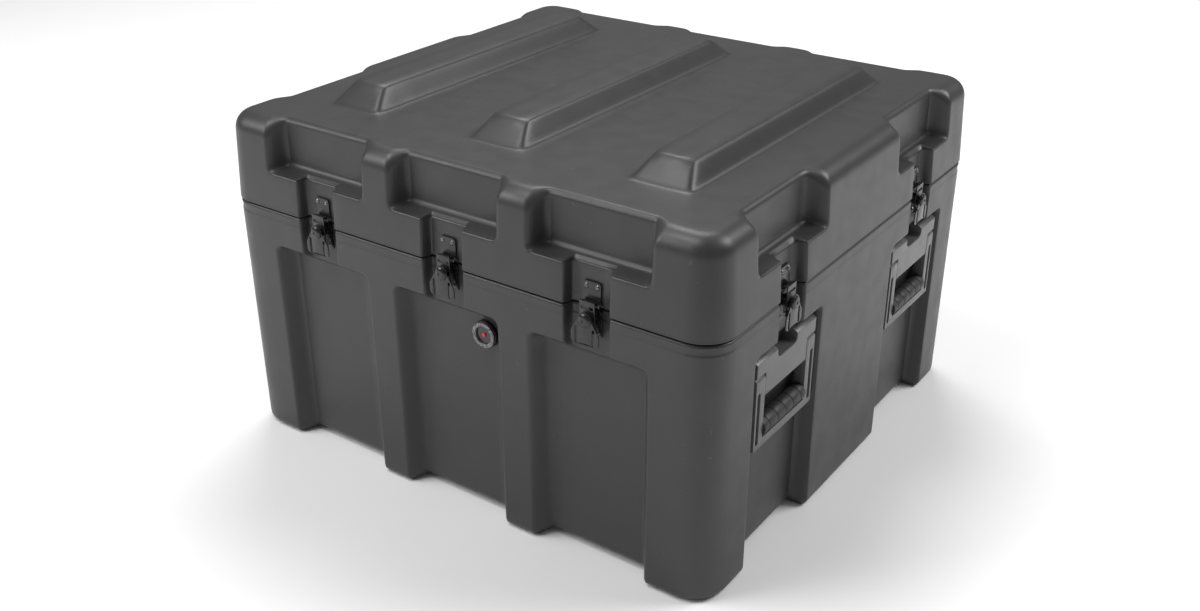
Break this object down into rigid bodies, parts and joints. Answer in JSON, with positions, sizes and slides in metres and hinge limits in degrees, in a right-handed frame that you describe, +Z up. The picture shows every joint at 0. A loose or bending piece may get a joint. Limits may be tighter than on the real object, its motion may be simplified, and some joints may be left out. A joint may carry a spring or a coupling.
{
  "type": "hard equipment case",
  "caption": "Hard equipment case with lift-off lid, twist latches, folding lift handles, stacking ribs and a pressure relief valve.",
  "frame": {"origin": "centre of the footprint, on the floor under the feet", "axes": "+Z up, +X along the front wall to the right, -Y towards whoever stands at the front wall, where the valve is"},
  "size_m": [0.8612, 0.8112, 0.551],
  "materials": {
    "moulded_polyethylene": "fine moulded texture, charcoal black",
    "seal_rubber": "solid cord",
    "black_coated_steel": "satin black coating",
    "black_rivet": "satin black coating",
    "zinc_steel": "zinc plated",
    "spring_steel": "bright drawn wire",
    "black_nylon": "injection moulded, satin",
    "grip_rubber": "overmoulded, matt",
    "valve_black_plastic": "injection moulded",
    "valve_grey_plastic": "injection moulded, satin",
    "valve_disc_plastic": "smooth",
    "valve_red_plastic": "smooth"
  },
  "bodies": {
    "base": {"base_shell": "moulded_polyethylene", "latch_plates": "black_coated_steel", "latch_rivets": "black_rivet", "handle_pins": "zinc_steel", "handle_springs": "spring_steel", "handle_back_plates": "zinc_steel", "handle_screws": "zinc_steel", "valve_seal": "seal_rubber", "valve_body": "valve_black_plastic", "valve_bezel": "valve_grey_plastic", "valve_disc": "valve_disc_plastic", "valve_spring": "spring_steel", "valve_nut": "valve_black_plastic", "handle_bracket_left_1": "black_nylon", "handle_bracket_left_2": "black_nylon", "handle_bracket_right_1": "black_nylon", "handle_bracket_right_2": "black_nylon"},
    "lid": {"lid_shell": "moulded_polyethylene", "lid_seal": "seal_rubber", "keeper_plates": "black_coated_steel", "keeper_rivets": "black_rivet"},
    "wing_front_1": {"latch_wing_front_1": "black_coated_steel", "latch_spindle_front_1": "black_coated_steel"},
    "link_front_1": {"latch_link_front_1": "black_coated_steel"},
    "wing_front_2": {"latch_wing_front_2": "black_coated_steel", "latch_spindle_front_2": "black_coated_steel"},
    "link_front_2": {"latch_link_front_2": "black_coated_steel"},
    "wing_front_3": {"latch_wing_front_3": "black_coated_steel", "latch_spindle_front_3": "black_coated_steel"},
    "link_front_3": {"latch_link_front_3": "black_coated_steel"},
    "wing_back_1": {"latch_wing_back_1": "black_coated_steel", "latch_spindle_back_1": "black_coated_steel"},
    "link_back_1": {"latch_link_back_1": "black_coated_steel"},
    "wing_back_2": {"latch_wing_back_2": "black_coated_steel", "latch_spindle_back_2": "black_coated_steel"},
    "link_back_2": {"latch_link_back_2": "black_coated_steel"},
    "wing_back_3": {"latch_wing_back_3": "black_coated_steel", "latch_spindle_back_3": "black_coated_steel"},
    "link_back_3": {"latch_link_back_3": "black_coated_steel"},
    "wing_left_1": {"latch_wing_left_1": "black_coated_steel", "latch_spindle_left_1": "black_coated_steel"},
    "link_left_1": {"latch_link_left_1": "black_coated_steel"},
    "wing_left_2": {"latch_wing_left_2": "black_coated_steel", "latch_spindle_left_2": "black_coated_steel"},
    "link_left_2": {"latch_link_left_2": "black_coated_steel"},
    "wing_right_1": {"latch_wing_right_1": "black_coated_steel", "latch_spindle_right_1": "black_coated_steel"},
    "link_right_1": {"latch_link_right_1": "black_coated_steel"},
    "wing_right_2": {"latch_wing_right_2": "black_coated_steel", "latch_spindle_right_2": "black_coated_steel"},
    "link_right_2": {"latch_link_right_2": "black_coated_steel"},
    "bail_left_1": {"handle_bail_left_1": "black_nylon", "handle_grip_left_1": "grip_rubber"},
    "bail_left_2": {"handle_bail_left_2": "black_nylon", "handle_grip_left_2": "grip_rubber"},
    "bail_right_1": {"handle_bail_right_1": "black_nylon", "handle_grip_right_1": "grip_rubber"},
    "bail_right_2": {"handle_bail_right_2": "black_nylon", "handle_grip_right_2": "grip_rubber"},
    "valve_button": {"valve_dot": "valve_red_plastic"}
  },
  "joints": [
    {"name": "lid_lift", "type": "slide", "parent": "base", "child": "lid", "axis": [0, 0, 1], "range_m": [0, 0.3]},
    {"name": "wing_turn_front_1", "type": "hinge", "parent": "base", "child": "wing_front_1", "pos_m": [-0.236, -0.384, 0.375], "axis": [0, -1, 0], "range_deg": [0, 180]},
    {"name": "link_raise_front_1", "type": "slide", "parent": "base", "child": "link_front_1", "axis": [0, 0, 1], "range_m": [0, 0.009]},
    {"name": "wing_turn_front_2", "type": "hinge", "parent": "base", "child": "wing_front_2", "pos_m": [0, -0.384, 0.375], "axis": [0, -1, 0], "range_deg": [0, 180]},
    {"name": "link_raise_front_2", "type": "slide", "parent": "base", "child": "link_front_2", "axis": [0, 0, 1], "range_m": [0, 0.009]},
    {"name": "wing_turn_front_3", "type": "hinge", "parent": "base", "child": "wing_front_3", "pos_m": [0.236, -0.384, 0.375], "axis": [0, -1, 0], "range_deg": [0, 180]},
    {"name": "link_raise_front_3", "type": "slide", "parent": "base", "child": "link_front_3", "axis": [0, 0, 1], "range_m": [0, 0.009]},
    {"name": "wing_turn_back_1", "type": "hinge", "parent": "base", "child": "wing_back_1", "pos_m": [0.236, 0.384, 0.375], "axis": [0, 1, 0], "range_deg": [0, 180]},
    {"name": "link_raise_back_1", "type": "slide", "parent": "base", "child": "link_back_1", "axis": [0, 0, 1], "range_m": [0, 0.009]},
    {"name": "wing_turn_back_2", "type": "hinge", "parent": "base", "child": "wing_back_2", "pos_m": [0, 0.384, 0.375], "axis": [0, 1, 0], "range_deg": [0, 180]},
    {"name": "link_raise_back_2", "type": "slide", "parent": "base", "child": "link_back_2", "axis": [0, 0, 1], "range_m": [0, 0.009]},
    {"name": "wing_turn_back_3", "type": "hinge", "parent": "base", "child": "wing_back_3", "pos_m": [-0.236, 0.384, 0.375], "axis": [0, 1, 0], "range_deg": [0, 180]},
    {"name": "link_raise_back_3", "type": "slide", "parent": "base", "child": "link_back_3", "axis": [0, 0, 1], "range_m": [0, 0.009]},
    {"name": "wing_turn_left_1", "type": "hinge", "parent": "base", "child": "wing_left_1", "pos_m": [-0.409, 0.207, 0.375], "axis": [-1, 0, 0], "range_deg": [0, 180]},
    {"name": "link_raise_left_1", "type": "slide", "parent": "base", "child": "link_left_1", "axis": [0, 0, 1], "range_m": [0, 0.009]},
    {"name": "wing_turn_left_2", "type": "hinge", "parent": "base", "child": "wing_left_2", "pos_m": [-0.409, -0.207, 0.375], "axis": [-1, 0, 0], "range_deg": [0, 180]},
    {"name": "link_raise_left_2", "type": "slide", "parent": "base", "child": "link_left_2", "axis": [0, 0, 1], "range_m": [0, 0.009]},
    {"name": "wing_turn_right_1", "type": "hinge", "parent": "base", "child": "wing_right_1", "pos_m": [0.409, -0.207, 0.375], "axis": [1, 0, 0], "range_deg": [0, 180]},
    {"name": "link_raise_right_1", "type": "slide", "parent": "base", "child": "link_right_1", "axis": [0, 0, 1], "range_m": [0, 0.009]},
    {"name": "wing_turn_right_2", "type": "hinge", "parent": "base", "child": "wing_right_2", "pos_m": [0.409, 0.207, 0.375], "axis": [1, 0, 0], "range_deg": [0, 180]},
    {"name": "link_raise_right_2", "type": "slide", "parent": "base", "child": "link_right_2", "axis": [0, 0, 1], "range_m": [0, 0.009]},
    {"name": "bail_swing_left_1", "type": "hinge", "parent": "base", "child": "bail_left_1", "pos_m": [-0.414, 0.207, 0.288], "axis": [0, 1, 0], "range_deg": [0, 90], "stiffness_Nm_per_rad": 0.1},
    {"name": "bail_swing_left_2", "type": "hinge", "parent": "base", "child": "bail_left_2", "pos_m": [-0.414, -0.207, 0.288], "axis": [0, 1, 0], "range_deg": [0, 90], "stiffness_Nm_per_rad": 0.1},
    {"name": "bail_swing_right_1", "type": "hinge", "parent": "base", "child": "bail_right_1", "pos_m": [0.414, -0.207, 0.288], "axis": [0, -1, 0], "range_deg": [0, 90], "stiffness_Nm_per_rad": 0.1},
    {"name": "bail_swing_right_2", "type": "hinge", "parent": "base", "child": "bail_right_2", "pos_m": [0.414, 0.207, 0.288], "axis": [0, -1, 0], "range_deg": [0, 90], "stiffness_Nm_per_rad": 0.1},
    {"name": "valve_press", "type": "slide", "parent": "base", "child": "valve_button", "axis": [0, 1, 0], "range_m": [0, 0.0015], "stiffness_N_per_m": 400}
  ],
  "couplings": [
    {"joint": "wing_turn_front_1", "follows": "link_raise_front_1", "rad_per_m": 349.06},
    {"joint": "wing_turn_front_2", "follows": "link_raise_front_2", "rad_per_m": 349.06},
    {"joint": "wing_turn_front_3", "follows": "link_raise_front_3", "rad_per_m": 349.06},
    {"joint": "wing_turn_back_1", "follows": "link_raise_back_1", "rad_per_m": 349.06},
    {"joint": "wing_turn_back_2", "follows": "link_raise_back_2", "rad_per_m": 349.06},
    {"joint": "wing_turn_back_3", "follows": "link_raise_back_3", "rad_per_m": 349.06},
    {"joint": "wing_turn_left_1", "follows": "link_raise_left_1", "rad_per_m": 349.06},
    {"joint": "wing_turn_left_2", "follows": "link_raise_left_2", "rad_per_m": 349.06},
    {"joint": "wing_turn_right_1", "follows": "link_raise_right_1", "rad_per_m": 349.06},
    {"joint": "wing_turn_right_2", "follows": "link_raise_right_2", "rad_per_m": 349.06}
  ]
}
